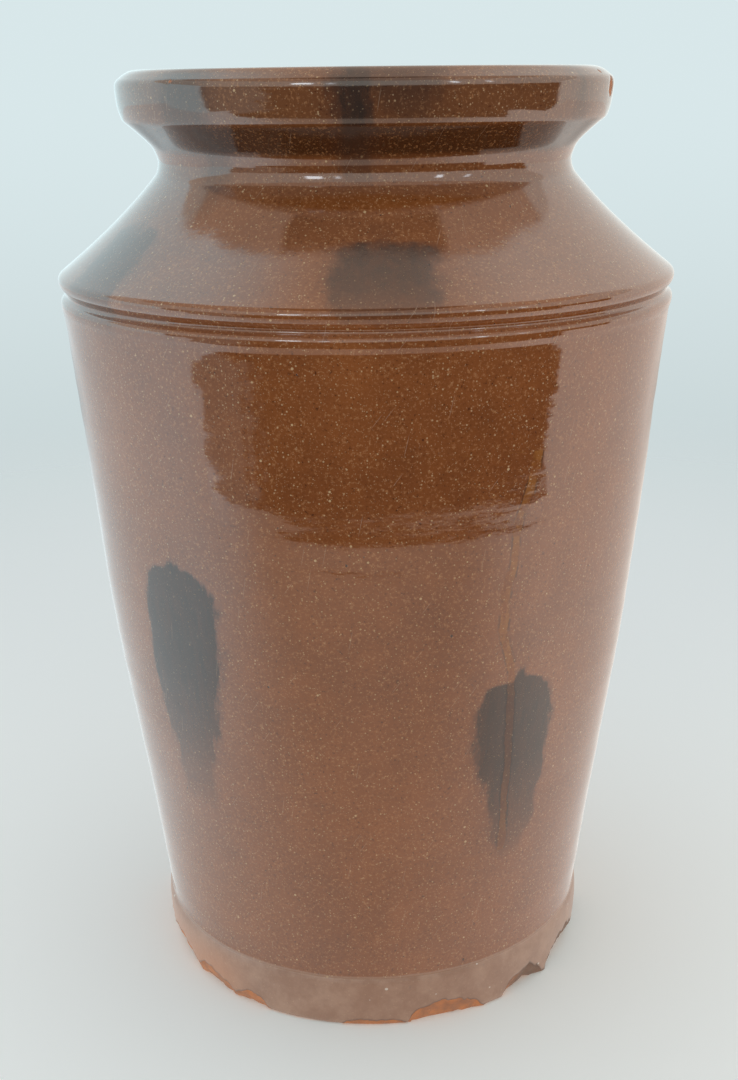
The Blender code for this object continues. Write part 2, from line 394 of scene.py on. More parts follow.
def add_foot_band(graph, place, turn, height, wavy, colour):
    """Thinner, dusty glaze on the foot band, limy, warmer at the left, worn pale at its join.

    Returns the colour, where the band is and how dusty it is."""
    band_height = graph.add(height, wavy)
    foot = graph.step(band_height, FOOT_H + 0.0004, FOOT_H - 0.0006)
    dust = graph.noise(place, 0.01, 5.0, 0.65)
    dusty = graph.mix(graph.step(dust, 0.34, 0.7), DUSTY_BROWN, DUSTY_PALE)
    warm_side = graph.times(graph.between(turn, -88.0, -38.0, 9.0),
                            graph.step(height, 0.026, 0.008))
    dusty = graph.paint(dusty, WARM_CLAY, warm_side, 0.8)
    lime = graph.spots(graph.stretch(place, 0.8, 0.8, 1.0), 0.0042, 0.00022, 0.00062, 0.5)
    colour = graph.paint(colour, dusty, foot, 0.78)
    colour = graph.paint(colour, LIME_WHITE, lime, foot, 0.9)
    join = graph.between(band_height, FOOT_H - 0.0002, FOOT_H + 0.0008, 0.0005)
    return graph.paint(colour, JOIN_PALE, join, 0.4), foot, dust


def add_chips(graph, place, turn, height, colour):
    """Bare clay in the chips, orange where fresh and grey-brown where old dirt has settled.

    Returns the colour and where the clay is bare."""
    crumbled = graph.less(graph.noise(place, 0.0022, 4.0, 0.6), 0.5)
    torn = graph.add(graph.attribute("chip_edge"), graph.times(crumbled, 0.0011))
    bare = graph.step(torn, -0.00012, 0.00012)
    rim_of_chip = graph.between(torn, -0.0006, 0.0, 0.00015)
    dirty = graph.times(graph.step(turn, 34.0, 44.0), graph.step(height, 0.05, 0.04))
    clay = graph.mix(dirty, clay_colour(graph, place, *FRESH_CLAY),
                     clay_colour(graph, place, *OLD_CLAY))
    colour = graph.paint(colour, CHIP_RIM, rim_of_chip, 0.4)
    return graph.mix(bare, colour, clay), bare


def age_inside(graph, height, wavy, patchy, colour):
    """Darker towards the floor, and a pale tide line left by brine."""
    deep = graph.step(height, 0.16, FLOOR)
    colour = graph.paint(colour, INSIDE_BROWN, deep, 0.45)
    tide = graph.between(graph.add(height, graph.times(wavy, 2.0)), 0.236, 0.2385, 0.0008)
    return graph.paint(colour, TIDE_PALE, tide, patchy, 0.35)


def glaze_relief(graph, place, height, pale, pits, foot, bare):
    """Orange peel, throwing streaks, grit, pits, the worn foot and broken clay, in metres."""
    below_shoulder = graph.step(height, SHOULDER_Z + 0.002, SHOULDER_Z - 0.002)
    streaks = graph.noise(graph.stretch(place, 0.3, 0.3, 1.0), 0.006, 3.0, 0.5)
    return graph.add(
        graph.times(streaks, graph.add(0.00001, graph.times(below_shoulder, 0.000045))),
        graph.times(graph.noise(place, 0.003, 3.0, 0.55), 0.000016),
        graph.times(pale, 0.00003),
        graph.times(pits, -0.00012),
        graph.times(foot, graph.noise(place, 0.002, 4.0, 0.6), 0.00016),
        graph.times(bare, graph.noise(place, 0.0016, 5.0, 0.65), 0.00055),
    )


def lead_glaze(name, inside):
    """Brown lead glaze over red clay: streaked, full of pale grit and dark pits, worn at the
    foot, stained black with manganese, and broken away to the clay at the chips."""
    material, graph, shader = new_material(name, GLAZE_IOR)
    place = graph.place()
    turn, height = around(graph, place)
    patchy = graph.step(graph.noise(place, 0.007, 3.0, 0.6), 0.42, 0.6)
    wavy = graph.times(graph.less(graph.noise(place, 0.02), 0.5), 0.0012)

    # Painted shade: the colour of the undercut below the lip is darkened.
    undercut_shade = graph.between(height, NECK_Z + 0.0045, LIP_LOW_Z - 0.0004, 0.0016)
    colour = glaze_body(graph, place, height, undercut_shade)
    run, run_edges = run_masks(graph, place)
    colour = graph.paint(colour, RUN_GOLD, run, patchy, 0.6)
    colour = graph.paint(colour, RUN_EDGE, run_edges, patchy, 0.6)
    margin, core = stain_masks(graph, place, height)
    colour = add_stains(graph, place, colour, margin, core, run, run_edges)

    # Grit and pits show through, less where the glaze is black or darkened by the painted shade of
    # the undercut.
    pale = pale_grit(graph, place)
    pits = graph.spots(graph.stretch(place, 1.0, 1.0, 0.7), 0.007, 0.00014, 0.00045, 0.5)
    speck_show = graph.times(graph.less(1.0, graph.times(core, 0.72)),
                             graph.less(1.0, graph.times(undercut_shade, 0.84)))
    colour = graph.paint(colour, GRIT_CREAM, pale, speck_show)
    colour = graph.paint(colour, PIT_BROWN, pits, 0.8)
    scored = graph.math("MAXIMUM", scratches(graph, turn, height, 78.0, 0.011, 0.00018, 0.0016),
                        scratches(graph, turn, height, 52.0, 0.008, 0.00018, 0.0012))
    colour = graph.paint(colour, SCRATCH_PALE, scored, 0.35)
    colour, foot, dust = add_foot_band(graph, place, turn, height, wavy, colour)
    colour, bare = add_chips(graph, place, turn, height, colour)
    if inside:
        colour = age_inside(graph, height, wavy, patchy, colour)

    # Mirror-like gloss, duller over stains, dust, scratches and bare clay.
    gloss = graph.add(0.045, graph.times(graph.noise(place, 0.03, 4.0, 0.6), 0.05))
    gloss = graph.add(gloss, graph.times(foot, graph.add(0.16, graph.times(dust, 0.3))))
    gloss = graph.add(gloss, graph.times(core, 0.04), graph.times(scored, 0.15),
                      graph.times(bare, 0.8))
    sheen = graph.less(0.5, graph.add(graph.times(core, 0.085), graph.times(run, 0.08)))
    graph.tree.links.new(sheen, shader.inputs["Specular IOR Level"])
    relief = glaze_relief(graph, place, height, pale, pits, foot, bare)
    wire(graph, shader, colour, gloss, relief)
    return material


def bare_clay(name, clean, dusty, grain_height, stain_low, stain_high):
    """Unglazed fired clay: matt, gritty and porous, darker where brine has soaked in."""
    material, graph, shader = new_material(name, CLAY_IOR)
    place = graph.place()
    colour = clay_colour(graph, place, clean, dusty)
    soak = graph.noise(place, 0.028, 4.0, 0.6)
    darker = tuple(0.55 * value for value in clean)
    colour = graph.paint(colour, darker, graph.step(soak, stain_low, stain_high), 0.55)
    speck = graph.spots(place, 0.004, 0.00014, 0.00045, 0.35)
    colour = graph.paint(colour, CLAY_SPECK, speck, 0.75)
    roughness = graph.add(0.62, graph.times(graph.noise(place, 0.004, 3.0, 0.6), 0.25))
    relief = graph.add(
        graph.times(graph.noise(place, 0.0011, 4.0, 0.65), grain_height),
        graph.times(speck, -0.00012),
    )
    wire(graph, shader, colour, roughness, relief)
    return material


# ------------ the crock

def unit(value):
    return np.clip(value, 0.0, 1.0)


def bezier(start, pull_a, pull_b, end, steps):
    """Points of a cubic Bezier curve, without its first point."""
    points = []
    for t in np.arange(1, steps + 1) / steps:
        u = 1.0 - t
        points.append(tuple(
            u ** 3 * start[k] + 3 * u * u * t * pull_a[k] + 3 * u * t * t * pull_b[k]
            + t ** 3 * end[k] for k in (0, 1)))
    return points


def body_radius(height):
    """Outer radius of the tapered wall at a height above the underside."""
    share = unit((height - FOOT_H) / (BODY_TOP_Z - FOOT_H))
    bow = SWELL * np.sin(np.pi * share ** SWELL_SKEW) ** 2
    return BODY_LOW_R + (BODY_TOP_R - BODY_LOW_R) * share + bow


def outside_outline():
    """(radius, height) from the centre of the underside up to the top of the lip's face."""
    points = [(0.0, 0.0), (FOOT_R - 0.03, 0.0), (FOOT_R - 0.003, 0.0), (FOOT_R - 0.0012, 0.0)]
    points += [(FOOT_R - 0.0002, 0.0012), (FOOT_R, 0.006), (FOOT_R, FOOT_H - 0.002)]
    points += [(FOOT_R - 0.0005, FOOT_H - 0.0006)]
    points += [(body_radius(z), z) for z in np.linspace(FOOT_H + 0.0006, BODY_TOP_Z, 14)]
    points += [(RIDGE_R, RIDGE_Z - 0.0014), (RIDGE_R, RIDGE_Z + 0.001)]
    points += [(GROOVE_R, GROOVE_Z)]
    points += [(SHOULDER_R - 0.0003, SHOULDER_Z - 0.0018), (SHOULDER_R, SHOULDER_Z)]
    points += [(SHOULDER_R - 0.0003, SHOULDER_Z + 0.0009)]
    points += [(SHOULDER_R - 0.0011, SHOULDER_Z + 0.0018)]
    cone_top = (CONE_TOP_R, CONE_TOP_Z)
    points += bezier(points[-1], (SHOULDER_R - 0.014, SHOULDER_Z + 0.0119),
                     (SHOULDER_R - 0.0266, SHOULDER_Z + 0.0226), cone_top, 24)
    neck = (NECK_R, NECK_Z)
    points += bezier(cone_top, (NECK_R + 0.0006, NECK_Z - 0.0043), (NECK_R, NECK_Z - 0.0023),
                     neck, 10)
    throat = (NECK_R + 0.0014, NECK_Z + 0.0043)
    points += [(NECK_R + 0.0002, NECK_Z + 0.0011), throat]
    lip_low = (LIP_LOW_R, LIP_LOW_Z)
    points += bezier(throat, (NECK_R + 0.0025, NECK_Z + 0.0066),
                     (LIP_LOW_R - 0.0062, LIP_LOW_Z - 0.0052), lip_low, 12)
    lip_face = (LIP_LOW_R + 0.0012, LIP_LOW_Z + 0.0032)
    points += [lip_face]
    points += bezier(lip_face, (LIP_LOW_R + 0.0018, LIP_LOW_Z + 0.0052),
                     (LIP_R - 0.0002, LIP_LOW_Z + 0.008), (LIP_R, LIP_TOP_Z - 0.0027), 4)
    return points


def rim_outline():
    """(radius, height) over the lip's rounded top to the edge of the mouth."""
    points = [(LIP_R - 0.0002, LIP_TOP_Z - 0.0012), (LIP_R - 0.0008, LIP_TOP_Z - 0.0002)]
    corner = (LIP_R - 0.0017, LIP_TOP_Z + 0.0005)
    points += [corner]
    crest = (CREST_R, HEIGHT)
    points += bezier(corner, (LIP_R - 0.0035, HEIGHT - 0.0012), (CREST_R + 0.0027, HEIGHT),
                     crest, 3)
    points += bezier(crest, (CREST_R - 0.0033, HEIGHT), (MOUTH_R + 0.0017, HEIGHT - 0.0008),
                     (MOUTH_R, HEIGHT - 0.0032), 3)
    return points


def inside_outline():
    """(radius, height) from below the mouth's edge down to the centre of the floor."""
    mouth = (MOUTH_R, HEIGHT - 0.0032)
    throat = (NECK_INNER_R, NECK_Z + 0.006)
    points = bezier(mouth, (MOUTH_R - 0.003, HEIGHT - 0.0075),
                    (NECK_INNER_R, HEIGHT - 0.0165), throat, 4)
    neck_low = (NECK_INNER_R, NECK_Z - 0.005)
    under_shoulder = (SHOULDER_R - WALL - 0.0005, SHOULDER_Z - 0.004)
    points += [neck_low]
    points += bezier(neck_low, (NECK_INNER_R + 0.004, NECK_Z - 0.0118),
                     (SHOULDER_R - 0.016, SHOULDER_Z + 0.0088), under_shoulder, 5)
    heights = np.linspace(SHOULDER_Z - 0.02, FLOOR + 0.016, 9)
    points += [(body_radius(z) - WALL, z) for z in heights]
    corner = points[-1]
    points += bezier(corner, (corner[0] - 0.0005, FLOOR + 0.005),
                     (corner[0] - 0.004, FLOOR), (corner[0] - 0.012, FLOOR), 4)
    points += [(corner[0] - 0.04, FLOOR), (0.0, FLOOR)]
    return points


def smooth_line(points):
    """A centripetal Catmull-Rom curve through the points, finely sampled."""
    knots = np.array(points, float)
    knots = np.vstack([2 * knots[0] - knots[1], knots, 2 * knots[-1] - knots[-2]])
    share = np.arange(CURVE_STEPS)[:, None] / CURVE_STEPS
    line = []
    for a, b, c, d in zip(knots, knots[1:], knots[2:], knots[3:]):
        t1 = math.sqrt(np.linalg.norm(b - a))
        t2 = t1 + math.sqrt(np.linalg.norm(c - b))
        t3 = t2 + math.sqrt(np.linalg.norm(d - c))
        t = t1 + (t2 - t1) * share
        ab = (t1 - t) / t1 * a + t / t1 * b
        bc = (t2 - t) / (t2 - t1) * b + (t - t1) / (t2 - t1) * c
        cd = (t3 - t) / (t3 - t2) * c + (t - t2) / (t3 - t2) * d
        abc = (t2 - t) / t2 * ab + t / t2 * bc
        bcd = (t3 - t) / (t3 - t1) * bc + (t - t1) / (t3 - t1) * cd
        line.append((t2 - t) / (t2 - t1) * abc + (t - t1) / (t2 - t1) * bcd)
    line.append(knots[-2][None, :])
    return np.vstack(line)


def row_spacing(radius, height, side):
    """Distance to the next row of the mesh: short where the outline turns or is chipped."""
    if side == RIM:
        return 0.0008
    if side == INSIDE:
        if height > NECK_Z - 0.006:
            return 0.0022
        if height > SHOULDER_Z - 0.01:
            return 0.0036
        return 0.007 if height > FLOOR + 0.018 else 0.0028
    if height < 0.0004:
        return 0.0062 if radius < FOOT_R - 0.009 else 0.0009
    if height < FOOT_H + 0.003:
        return 0.0008
    if height < BODY_TOP_Z - 0.002:
        return 0.003
    if height < SHOULDER_Z + 0.004:
        return 0.00055
    return 0.0019 if height < CONE_TOP_Z - 0.002 else 0.001


def crock_section():
    """Rows of the section as arrays of radius, height and side (outside, rim or inside)."""
    parts = [outside_outline(), rim_outline(), inside_outline()]
    line = smooth_line(sum(parts, []))
    counts = np.cumsum([len(part) * CURVE_STEPS for part in parts])
    sides = np.searchsorted(counts, np.arange(len(line)), side="right").clip(0, INSIDE)
    lengths = np.concatenate([[0.0], np.cumsum(np.linalg.norm(np.diff(line, axis=0), axis=1))])
    rows = [0]
    while rows[-1] < len(line) - 1:
        here = rows[-1]
        gap = row_spacing(line[here][0], line[here][1], sides[here])
        rows.append(max(here + 1, int(np.searchsorted(lengths, lengths[here] + gap))))
    rows[-1] = len(line) - 1
    return line[rows, 0], line[rows, 1], sides[rows]


def column_angles():
    """Azimuths of the mesh's columns in radians, crowded towards the front."""
    even = np.arange(COLUMNS) / COLUMNS * math.tau
    return even - FRONT_CROWDING * np.sin(even)


def noise_field(points, size, seed):
    """Smooth noise from -1 to 1 at points, with features about `size` across."""
    scaled = points / np.array(size) + seed
    flat = [noise.noise(Vector(point)) for point in scaled.reshape(-1, 3)]
    return np.array(flat).reshape(points.shape[:-1])


def turned_points(radius, turn, height):
    return np.stack([radius * np.sin(turn), -radius * np.cos(turn), height], axis=-1)


def throwing_marks(points, radius, height, turn, sides):
    """How far hand throwing leaves the wall from a true circle."""
    out_of_round = 0.00022 * np.cos(2 * turn + 0.8) + 0.0001 * np.cos(3 * turn + 2.0)
    lumps = 0.00034 * noise_field(points, (0.055, 0.055, 0.04), 3.1)
    rings = 0.00011 * noise_field(points, (0.11, 0.11, 0.0075), 11.7)
    spiral = height / 0.0125 * math.tau + turn
    grooves = 0.00005 * np.sin(spiral) * (1.0 + noise_field(points, (0.09, 0.09, 0.05), 5.3))
    inner = (sides == INSIDE)[:, None]
    calm = np.where(height > SHOULDER_Z, 0.3, 1.0)
    outside = out_of_round + calm * (lumps + rings + grooves)
    inside = out_of_round + lumps + 5.0 * grooves + rings
    fade_at_axis = unit(radius / 0.05)
    ground = unit(height / 0.004)
    return np.where(inner, inside, outside * ground) * fade_at_axis


def wrapped(turn, azimuth):
    """Angle in radians from an azimuth in degrees, from -pi to pi."""
    return (turn - np.radians(azimuth) + math.pi) % math.tau - math.pi


def foot_breaks(turn):
    """Height and depth of the broken edge of the foot for each column."""
    around_foot = turned_points(FOOT_R, turn, np.zeros_like(turn))
    ragged = 1.0 + 0.3 * noise_field(around_foot, (0.005,) * 3, 2.4)
    ragged += 0.18 * noise_field(around_foot, (0.0022,) * 3, 7.9)
    high = 0.00045 * np.clip(1.0 + 1.6 * noise_field(around_foot, (0.007,) * 3, 9.2), 0, 2)
    deep = high.copy()
    for azimuth, half_width, height, depth in FOOT_FLAKES:
        off = wrapped(turn, azimuth) * FOOT_R / half_width
        scoop = np.sqrt(unit(1.0 - off ** 2)) * ragged
        deep = np.where(scoop * height > high, scoop * depth, deep)
        high = np.maximum(high, scoop * height)
    return high, deep


def break_foot(radius, height, turn, chip_edge):
    """Moves the foot's lower edge onto a fracture that slopes from the band to the underside.

    Rows on the band slide to the fracture's upper half and rows of the underside to its lower
    half, so that the two meet halfway down."""
    high, deep = foot_breaks(turn)
    high, deep = high[None, :], deep[None, :]
    inner_edge = FOOT_R - deep
    band = (height < high) & (height > 0.0) & (radius > FOOT_R - 0.002)
    slid = (height + high) / 2
    on_band = FOOT_R - deep * (1.0 - slid / high)
    ground = (height <= 0.0) & (radius > inner_edge)
    drawn = (radius + inner_edge) / 2
    raised = high * (drawn - inner_edge) / deep
    chip_edge[:] = np.where(height < FOOT_H, high - height, chip_edge)
    new_height = np.where(band, slid, np.where(ground, raised, height))
    new_radius = np.where(band, on_band, np.where(ground, drawn, radius))
    chip_edge[:] = np.where(band | ground, np.maximum(high - new_height, 0.0002), chip_edge)
    broken = (band | ground) & (high > 0.0015)
    rough = turned_points(new_radius, turn[None, :], new_height)
    new_radius += np.where(broken, 0.00055 * noise_field(rough, (0.0032,) * 3, 4.4), 0.0)
    return new_radius, new_height


def chip_lip(radius, height, turn, sides, chip_edge):
    """Presses the small chips into the lip and marks them as bare clay."""
    outer = (sides != INSIDE)[:, None] & (height > LIP_LOW_Z - 0.002)
    for azimuth, middle, half_width, half_height, depth in LIP_CHIPS:
        across = wrapped(turn, azimuth)[None, :] * LIP_R / half_width
        up = (height - middle) / half_height
        far = np.sqrt(across ** 2 + up ** 2)
        radius = radius - np.where(outer, depth * unit(1.4 * (1.0 - far)), 0.0)
        edge = (1.0 - far) * min(half_width, half_height)
        chip_edge[:] = np.where(outer, np.maximum(chip_edge, edge), chip_edge)
    return radius


def stain_fields(height, turn, sides):
    """Signed distance into the nearest manganese splash, and its strength."""
    edge = np.full(height.shape, -FAR_AWAY)
    strength = np.zeros(height.shape)
    inner = (sides == INSIDE)[:, None] & (height < LIP_LOW_Z)
    for azimuth, top, bottom, half_width, narrowing, lean, dark in STAINS:
        down = (top - height) / (top - bottom)
        middle = azimuth + lean * down
        off = wrapped(turn[None, :], middle)
        reach = SHOULDER_R if top > BODY_TOP_Z else body_radius(height)
        reach = np.where(height > SHOULDER_Z, NECK_R + (HEIGHT - height) * 0.4, reach)
        round_top = np.sqrt(unit(1.0 - unit(1.0 - down / 0.16) ** 2))
        tail = unit((down - 0.4) / 0.6)
        wide = half_width * round_top * (1.0 - narrowing * tail)
        inside = wide - np.abs(off) * reach
        inside = np.minimum(inside, np.minimum(top - height, height - bottom))
        weight = dark * (1.0 - 0.9 * tail ** 1.3)
        better = (inside > edge) & ~inner
        edge = np.where(better, inside, edge)
        strength = np.where(better, weight, strength)
    return edge, strength


def run_field(height, turn, sides):
    """Signed distance round the pot from the middle of the run of thin glaze."""
    azimuths = np.array([azimuth for azimuth, _ in RUN])[::-1]
    heights = np.array([level for _, level in RUN])[::-1]
    middle = np.interp(height, heights, azimuths)
    off = (turn[None, :] - np.radians(middle)) * body_radius(height)
    on_run = (height > heights[0]) & (height < heights[-1]) & (sides == OUTSIDE)[:, None]
    return np.where(on_run, off, FAR_AWAY)


def grid_faces(rows, columns):
    """Quads between neighbouring rows of a closed ring of columns."""
    row, column = np.meshgrid(np.arange(rows - 1), np.arange(columns), indexing="ij")
    after = (column + 1) % columns
    quads = np.stack([row * columns + column, row * columns + after,
                      (row + 1) * columns + after, (row + 1) * columns + column], axis=-1)
    return quads.reshape(-1, 4)


def store(mesh, name, values):
    attribute = mesh.attributes.new(name, "FLOAT", "POINT")
    attribute.data.foreach_set("value", np.asarray(values, np.float32).ravel())


def add_object(name, mesh):
    item = bpy.data.objects.new(name, mesh)
    bpy.context.scene.collection.objects.link(item)
    return item


def crock_mesh(section_r, section_z, sides, low_point, high_point):
    """The turned, broken and chipped pot, with its distances to chips, stains and run stored."""
    turn = column_angles()
    radius = np.repeat(section_r[:, None], COLUMNS, axis=1)
    height = np.repeat(section_z[:, None], COLUMNS, axis=1)
    chip_edge = np.full(radius.shape, -FAR_AWAY)
    radius, height = break_foot(radius, height, turn, chip_edge)
    radius = chip_lip(radius, height, turn, sides, chip_edge)
    stain_edge, stain_strength = stain_fields(height, turn, sides)
    run_offset = run_field(height, turn, sides)
    points = turned_points(radius, turn[None, :], height)
    radius += throwing_marks(points, radius, height, turn[None, :], sides)
    points = turned_points(radius, turn[None, :], height).reshape(-1, 3)
    rows = len(section_r)
    centres = np.array([(0.0, 0.0, low_point), (0.0, 0.0, high_point)])
    faces = grid_faces(rows, COLUMNS).tolist()
    ring = np.arange(COLUMNS)
    bottom, top = len(points), len(points) + 1
    faces += [(bottom, int((c + 1) % COLUMNS), int(c)) for c in ring]
    start = (rows - 1) * COLUMNS
    faces += [(top, int(start + c), int(start + (c + 1) % COLUMNS)) for c in ring]
    mesh = bpy.data.meshes.new("glazed_crock")
    mesh.from_pydata(np.vstack([points, centres]).tolist(), [], faces)
    ends = (-FAR_AWAY, -FAR_AWAY)
    store(mesh, "chip_edge", np.append(chip_edge, ends))
    store(mesh, "stain_edge", np.append(stain_edge, ends))
    store(mesh, "stain_strength", np.append(stain_strength, (0.0, 0.0)))
    store(mesh, "run_offset", np.append(run_offset, (FAR_AWAY, FAR_AWAY)))
    return mesh


def glaze_crock(mesh, section_r, section_z, sides):
    """Glazes the outside and the inside, and leaves the underside as bare clay."""
    mesh.materials.append(lead_glaze("lead_glaze", inside=False))
    mesh.materials.append(lead_glaze("lead_glaze_inside", inside=True))
    mesh.materials.append(bare_clay("unglazed_foot", *UNDERSIDE_CLAY, 0.00022, 0.45, 0.62))
    outside, inside, underside = 0, 1, 2
    face_row = np.repeat(np.arange(len(section_r) - 1), COLUMNS)
    slots = np.where(sides[face_row] == INSIDE, inside, outside)
    under = (section_z[face_row] <= 0.0) & (section_r[face_row] < FOOT_R - 0.007)
    slots = np.where(under, underside, slots)
    slots = np.concatenate([slots, np.full(COLUMNS, underside), np.full(COLUMNS, inside)])
    mesh.polygons.foreach_set("material_index", slots.astype(np.int32))


def make_crock():
    """The pot, glazed, on the body that carries it."""
    section_r, section_z, sides = crock_section()
    low_point, high_point = section_z[0], section_z[-1]
    off_axis = slice(1, -1)  # the first and last points sit on the axis and close the caps
    section_r, section_z, sides = section_r[off_axis], section_z[off_axis], sides[off_axis]
    mesh = crock_mesh(section_r, section_z, sides, low_point, high_point)
    glaze_crock(mesh, section_r, section_z, sides)
    mesh.shade_smooth()
    mesh.set_sharp_from_angle(angle=math.radians(42))
    crock = add_object("glazed_crock", mesh)
    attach(crock, "crock")
    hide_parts("crock")


# ------------ the weights

def weight_outline(flat_x, round_r):
    """Half disc seen from above, its flat side towards -X, with a finger notch."""
    swing = math.acos(flat_x / round_r)
    half_notch = math.acos(flat_x / NOTCH_R)
    outline = [(round_r * math.cos(a), round_r * math.sin(a))
               for a in np.linspace(-swing, swing, 72)]
    outline += [(NOTCH_R * math.cos(a), NOTCH_R * math.sin(a))
                for a in np.linspace(half_notch, -half_notch, 22)]
    return outline


def cut_across(shape, place, normal):
    """Cuts edges into a shape where a plane crosses it."""
    everything = shape.faces[:] + shape.edges[:] + shape.verts[:]
    bmesh.ops.bisect_plane(shape, geom=everything, dist=1e-6, plane_co=place, plane_no=normal)


def make_weight(node, clay):
    """One half-round weight, hand-finished: soft edges, a finger notch and uneven faces."""
    low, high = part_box(node)
    side = 1.0 if high.x + low.x > 0.0 else -1.0
    outline = weight_outline(min(abs(low.x), abs(high.x)), high.y)
    shape = bmesh.new()
    base = shape.faces.new([shape.verts.new((side * x, y, low.z)) for x, y in outline])
    grown = bmesh.ops.extrude_face_region(shape, geom=[base])
    risen = [part for part in grown["geom"] if isinstance(part, bmesh.types.BMVert)]
    bmesh.ops.translate(shape, verts=risen, vec=(0.0, 0.0, high.z - low.z))
    bmesh.ops.recalc_face_normals(shape, faces=shape.faces)
    rims = [edge for edge in shape.edges if edge.calc_face_angle(0.0) > math.radians(40)]
    bmesh.ops.bevel(shape, geom=rims, offset=SOFT_EDGE, segments=5, profile=0.5, affect="EDGES")
    for normal in (Vector((1.0, 0.0, 0.0)), Vector((0.0, 1.0, 0.0))):
        for place in np.arange(-high.y, high.y, CUT_SPACING):
            cut_across(shape, normal * place, normal)
    for place in np.linspace(low.z + SOFT_EDGE, high.z - SOFT_EDGE, 5):
        cut_across(shape, (0, 0, place), (0, 0, 1))
    bmesh.ops.triangulate(shape, faces=[f for f in shape.faces if len(f.verts) > 4])
    shape.normal_update()
    for vert in shape.verts:
        far = math.hypot(vert.co.x, vert.co.y)
        uneven = 0.0003 * (noise.noise(vert.co / 0.017 + Vector((side, 4.0, 0.0))) - 0.5)
        rings = 0.00016 * (math.sin(far / 0.0068 * math.tau) - 1.0) * (vert.normal.z > 0.9)
        vert.co += vert.normal * (uneven + rings)
    mesh = bpy.data.meshes.new(f"clay_{node}")
    shape.to_mesh(mesh)
    shape.free()
    mesh.shade_smooth()
    mesh.materials.append(clay)
    weight = add_object(mesh.name, mesh)
    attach(weight, node)
    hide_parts(node)


# ------------ stage, light and camera

def flat_piece(name, outline, height):
    mesh = bpy.data.meshes.new(name)
    mesh.from_pydata([(x, y, height) for x, y in outline], [], [range(len(outline))])
    piece = add_object(name, mesh)
    return piece


def make_floor():
    """A pale round floor that fades into the pale surroundings, seen by the camera, its colour
    lighter in front and darker behind as painted shade.
    """
    reach = 2.4
    ring = np.linspace(0.0, math.tau, 96, endpoint=False)
    outline = [(reach * math.cos(a), reach * math.sin(a)) for a in ring]
    floor = flat_piece("floor", outline, 0.0)
    material, graph, shader = new_material("pale_floor", 1.4)
    shader.inputs["Roughness"].default_value = 0.85
    shader.inputs["Specular IOR Level"].default_value = 0.1
    shader.inputs["Emission Color"].default_value = (0.045, 0.06, 0.055, 1.0)
    shader.inputs["Emission Strength"].default_value = 1.0
    place = graph.place()
    # Painted shade: the floor's colour is lighter in front and darker behind.
    back = graph.step(graph.axes(place)[1], -0.3, 0.45)
    shade = graph.mix(back, (0.95, 0.99, 0.98), (0.76, 0.8, 0.81))
    graph.tree.links.new(shade, shader.inputs["Base Color"])
    far = graph.node("ShaderNodeVectorMath", {0: place}, operation="LENGTH").outputs["Value"]
    clear = graph.node("ShaderNodeBsdfTransparent")
    fade = graph.node("ShaderNodeMixShader", {0: graph.step(far, 0.38, 1.05)})
    graph.tree.links.new(shader.outputs[0], fade.inputs[1])
    graph.tree.links.new(clear.outputs[0], fade.inputs[2])
    output = graph.node("ShaderNodeOutputMaterial", {0: fade.outputs[0]})
    output.is_active_output = True
    floor.data.materials.append(material)
    floor.visible_glossy = False
    floor.visible_diffuse = False


def cloth_light():
    """White cloth as a soft light: dim in front, where the room is dark, bright at the sides
    and dimmer again far behind."""
    material = bpy.data.materials.new("cloth_light")
    material.use_nodes = True
    graph = Graph(material.node_tree)
    place = graph.place()
    x, y, _ = graph.axes(place)
    warm = graph.step(x, -0.35, 0.35)
    bright = graph.mix(warm, (0.98, 1.11, 1.15), (1.06, 0.98, 0.9))
    spread = graph.add(y, graph.times(graph.math("ABSOLUTE", x), 0.9))
    glow = graph.mix(graph.step(spread, -0.2, 0.2), (0.58, 0.49, 0.42), bright)
    far_behind = graph.times(graph.step(y, 0.5, 1.00),
                             graph.step(graph.math("ABSOLUTE", x), 0.75, 0.4))
    level = graph.less(1.0, graph.times(far_behind, 0.42))
    light = graph.node("ShaderNodeEmission", {"Color": glow, "Strength": level})
    graph.node("ShaderNodeOutputMaterial", {0: light.outputs[0]})
    return material


def gathered_side(x, near, top, seed):
    """Corners of cloth that hangs beside the crock, its front edge ragged with folds."""
    folds = 26
    levels = np.linspace(0.0, top, folds)
    places = np.stack([np.full(folds, 4.0 * x), levels, np.full(folds, seed)], axis=1)
    edge = near + 0.03 * noise_field(places, (0.011,) * 3, 1.3)
    edge += 0.02 * noise_field(places, (0.03,) * 3, 6.1)
    edge -= 0.09 * unit(1.0 - levels / 0.115) ** 1.5
    front = [(x, y, z) for y, z in zip(edge, levels)]
    return [(1.5 * x, 0.6, 0.0)] + front + [(1.5 * x, 0.6, top)]


def make_cloth():
    """The white cloth that the glaze mirrors. It ends in front of the crock, so the glaze shows
    the dark room past its edge, and it is gathered up at both sides. The camera sees the plain
    floor instead."""
    front = [(-0.33, -0.455), (-0.16, -0.49), (0.0, -0.5), (0.14, -0.485), (0.25, -0.455),
             (0.38, -0.39), (0.47, -0.31), (0.56, -0.22), (0.75, -0.08), (1.3, 0.12),
             (2.2, 0.45), (2.2, 2.6), (-2.2, 2.6), (-2.2, 0.3), (-1.6, 0.15),
             (-1.00, -0.12), (-0.62, -0.33), (-0.46, -0.38)]
    cloth = flat_piece("cloth", front, -0.0004)
    sides = bpy.data.meshes.new("cloth_sides")
    corners, faces = [], []
    for x, near, top, seed in ((-0.33, -0.215, 0.215, 2.0), (0.33, -0.16, 0.225, 9.0)):
        start = len(corners)
        corners += gathered_side(x, near, top, seed)
        faces.append(range(start, len(corners)))
    sides.from_pydata(corners, [], faces)
    gathered = add_object("cloth_sides", sides)
    glow = cloth_light()
    for piece in (cloth, gathered):
        piece.data.materials.append(glow)
        piece.visible_camera = False
        piece.visible_shadow = False
    gathered.visible_diffuse = False


